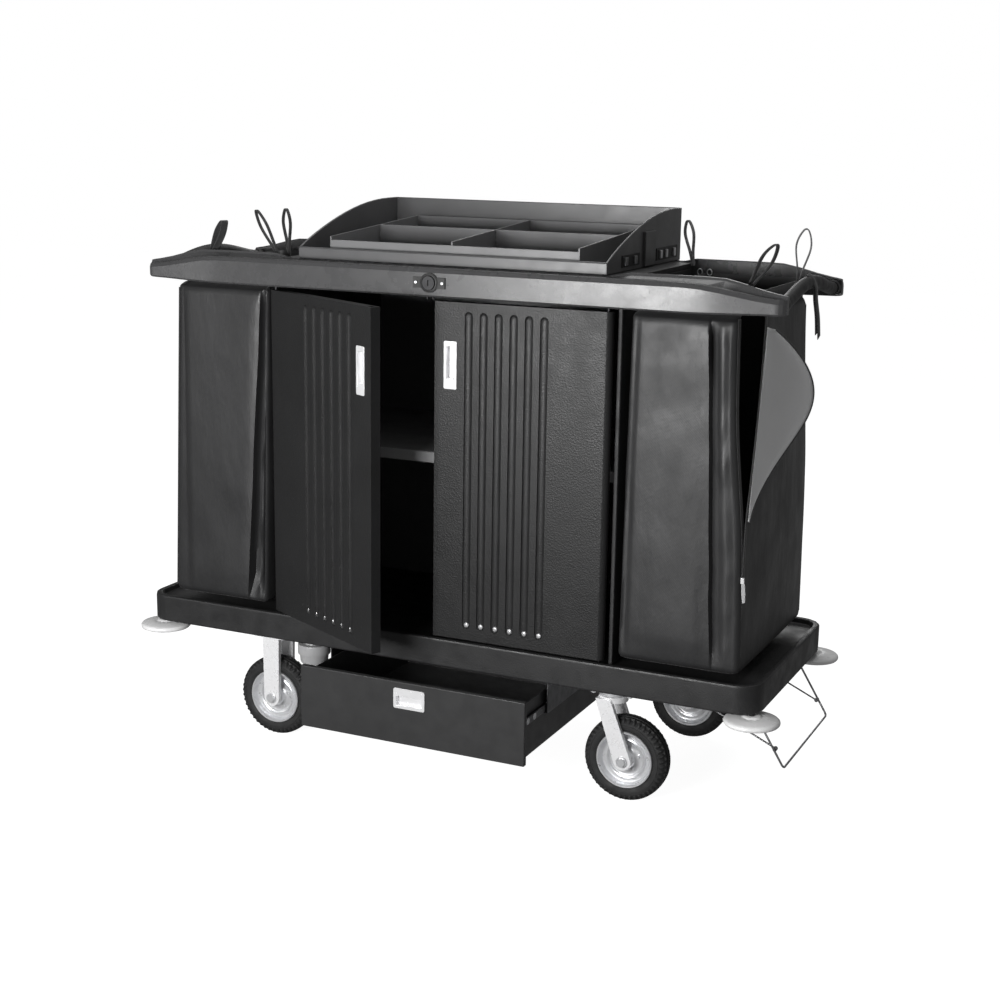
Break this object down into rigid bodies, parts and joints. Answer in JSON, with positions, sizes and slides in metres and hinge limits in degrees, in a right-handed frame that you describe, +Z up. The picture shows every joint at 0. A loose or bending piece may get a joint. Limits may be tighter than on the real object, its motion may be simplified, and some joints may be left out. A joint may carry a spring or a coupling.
{
  "type": "housekeeping cart",
  "caption": "Hotel housekeeping cart: moulded deck on casters, two-door cabinet between hanging bags, top organizer with lift-out tray, locking rail, drawer and fold-up wire rack",
  "frame": {"origin": "On the floor at the middle of the bounding box, at rest as in the picture.", "axes": "+X along the cart's length, towards the end with the swivel casters and the wire rack; +Y from the doors to the back; +Z up."},
  "size_m": [1.672, 0.7882, 1.3155],
  "materials": {
    "deck_plastic": "fine-textured near-black moulding, edges slightly polished by use",
    "cabinet_plastic": "black moulded panel",
    "door_plastic": "dark grey, finely pebbled moulding",
    "rail_plastic": "satin mid grey moulding",
    "organizer_plastic": "satin dark grey moulding",
    "tray_plastic": "satin dark grey moulding",
    "handle_rubber": "black soft-touch grip",
    "lock_black": "smooth black",
    "chrome": "bright plated",
    "zinc": "bright zinc plated pressings",
    "drawer_paint": "dark grey powder coat",
    "slide_steel": "black oiled steel",
    "tyre_rubber": "black pneumatic tyre with shoulder blocks",
    "bumper_plastic": "light grey, slightly glossy non-marking disc",
    "knob_plastic": "mid grey",
    "wire_steel": "dark coated wire and strip",
    "bag_polyester": "coated dark grey polyester with bound seams"
  },
  "bodies": {
    "cart_body": {"base_deck": "deck_plastic", "cabinet_side_left": "cabinet_plastic", "cabinet_side_right": "cabinet_plastic", "cabinet_back": "cabinet_plastic", "cabinet_shelf": "cabinet_plastic", "top_deck": "cabinet_plastic", "rail_front": "rail_plastic", "rail_back": "rail_plastic", "end_handle_left": "handle_rubber", "end_handle_right": "handle_rubber", "organizer_hood": "organizer_plastic", "lock_plate": "lock_black", "drawer_rail_left": "slide_steel", "drawer_rail_right": "slide_steel", "bag_left": "bag_polyester", "bag_right": "bag_polyester", "bag_flap_right": "bag_polyester", "rigid_fork_front": "zinc", "rigid_fork_back": "zinc", "swivel_plate_front": "zinc", "swivel_plate_back": "zinc", "door_pin_left": "zinc", "door_pin_right": "zinc", "rack_bracket_front": "wire_steel", "rack_bracket_back": "wire_steel", "axle_left_front": "zinc", "axle_left_back": "zinc"},
    "door_left": {"door_left": "door_plastic", "door_pull_left": "chrome"},
    "door_right": {"door_right": "door_plastic", "door_pull_right": "chrome"},
    "drawer": {"drawer_front": "drawer_paint", "drawer_box": "drawer_paint", "drawer_pull": "chrome", "drawer_slide_left": "slide_steel", "drawer_slide_right": "slide_steel"},
    "lock_cylinder": {"lock_cylinder": "chrome"},
    "latch_bolt": {"latch_bolt": "zinc"},
    "divider_tray": {"divider_tray": "tray_plastic"},
    "drawer_knob": {"drawer_knob": "knob_plastic"},
    "wheel_left_front": {"tyre_left_front": "tyre_rubber", "rim_left_front": "zinc"},
    "swivel_front": {"swivel_fork_front": "zinc", "axle_right_front": "zinc"},
    "wheel_right_front": {"tyre_right_front": "tyre_rubber", "rim_right_front": "zinc"},
    "wheel_left_back": {"tyre_left_back": "tyre_rubber", "rim_left_back": "zinc"},
    "swivel_back": {"swivel_fork_back": "zinc", "axle_right_back": "zinc"},
    "wheel_right_back": {"tyre_right_back": "tyre_rubber", "rim_right_back": "zinc"},
    "bumper_left_front": {"bumper_left_front": "bumper_plastic"},
    "bumper_left_back": {"bumper_left_back": "bumper_plastic"},
    "bumper_right_front": {"bumper_right_front": "bumper_plastic"},
    "bumper_right_back": {"bumper_right_back": "bumper_plastic"},
    "rack_bail": {"rack_bail": "wire_steel"},
    "rack_stay_front": {"rack_stay_front": "wire_steel"},
    "rack_stay_back": {"rack_stay_back": "wire_steel"}
  },
  "joints": [
    {"name": "door_left_hinge", "type": "hinge", "parent": "cart_body", "child": "door_left", "pos_m": [-0.424, -0.18791, 0.7265], "axis": [0, 0, -1], "range_deg": [-27.5, 77.5]},
    {"name": "door_right_hinge", "type": "hinge", "parent": "cart_body", "child": "door_right", "pos_m": [0.415, -0.18791, 0.7265], "axis": [0, 0, 1], "range_deg": [0, 105]},
    {"name": "drawer_slide", "type": "slide", "parent": "cart_body", "child": "drawer", "axis": [0, -1, 0], "range_m": [-0.12, 0.28]},
    {"name": "lock_turn", "type": "hinge", "parent": "cart_body", "child": "lock_cylinder", "pos_m": [-0.01, -0.20541, 1.158], "axis": [0, -1, 0], "range_deg": [0, 90]},
    {"name": "latch_drop", "type": "slide", "parent": "cart_body", "child": "latch_bolt", "axis": [0, 0, -1], "range_m": [0, 0.0121]},
    {"name": "tray_lift", "type": "slide", "parent": "cart_body", "child": "divider_tray", "axis": [0, 0, 1], "range_m": [0, 0.12]},
    {"name": "drawer_knob_turn", "type": "hinge", "parent": "cart_body", "child": "drawer_knob", "pos_m": [-0.338, -0.17541, 0.236], "axis": [0, 0, 1], "range_deg": [0, 90]},
    {"name": "wheel_left_front_spin", "type": "hinge", "parent": "cart_body", "child": "wheel_left_front", "pos_m": [-0.455, -0.15141, 0.1], "axis": [0, 1, 0], "continuous": true},
    {"name": "swivel_front_turn", "type": "hinge", "parent": "cart_body", "child": "swivel_front", "pos_m": [0.44, -0.15141, 0.25], "axis": [0, 0, 1], "continuous": true},
    {"name": "wheel_right_front_spin", "type": "hinge", "parent": "swivel_front", "child": "wheel_right_front", "pos_m": [0.478, -0.15141, 0.1], "axis": [0, 1, 0], "continuous": true},
    {"name": "wheel_left_back_spin", "type": "hinge", "parent": "cart_body", "child": "wheel_left_back", "pos_m": [-0.455, 0.30059, 0.1], "axis": [0, 1, 0], "continuous": true},
    {"name": "swivel_back_turn", "type": "hinge", "parent": "cart_body", "child": "swivel_back", "pos_m": [0.44, 0.30059, 0.25], "axis": [0, 0, 1], "continuous": true},
    {"name": "wheel_right_back_spin", "type": "hinge", "parent": "swivel_back", "child": "wheel_right_back", "pos_m": [0.478, 0.30059, 0.1], "axis": [0, 1, 0], "continuous": true},
    {"name": "bumper_left_front_spin", "type": "hinge", "parent": "cart_body", "child": "bumper_left_front", "pos_m": [-0.7735, -0.18241, 0.248], "axis": [0, 0, 1], "continuous": true},
    {"name": "bumper_left_back_spin", "type": "hinge", "parent": "cart_body", "child": "bumper_left_back", "pos_m": [-0.7735, 0.33159, 0.248], "axis": [0, 0, 1], "continuous": true},
    {"name": "bumper_right_front_spin", "type": "hinge", "parent": "cart_body", "child": "bumper_right_front", "pos_m": [0.7735, -0.18241, 0.248], "axis": [0, 0, 1], "continuous": true},
    {"name": "bumper_right_back_spin", "type": "hinge", "parent": "cart_body", "child": "bumper_right_back", "pos_m": [0.7735, 0.33159, 0.248], "axis": [0, 0, 1], "continuous": true},
    {"name": "rack_fold", "type": "hinge", "parent": "cart_body", "child": "rack_bail", "pos_m": [0.752, 0.07459, 0.255], "axis": [0, -1, 0], "range_deg": [0, 57]},
    {"name": "rack_stay_front_turn", "type": "hinge", "parent": "cart_body", "child": "rack_stay_front", "pos_m": [0.605, 0.07459, 0.255], "axis": [0, -1, 0], "range_deg": [0, 24]},
    {"name": "rack_stay_back_turn", "type": "hinge", "parent": "cart_body", "child": "rack_stay_back", "pos_m": [0.605, 0.07459, 0.255], "axis": [0, -1, 0], "range_deg": [0, 24]}
  ],
  "couplings": [
    {"joint": "latch_drop", "follows": "lock_turn", "m_per_rad": 0.0076394},
    {"joint": "rack_stay_front_turn", "follows": "rack_fold", "ratio": 0.41827},
    {"joint": "rack_stay_back_turn", "follows": "rack_fold", "ratio": 0.41827}
  ]
}
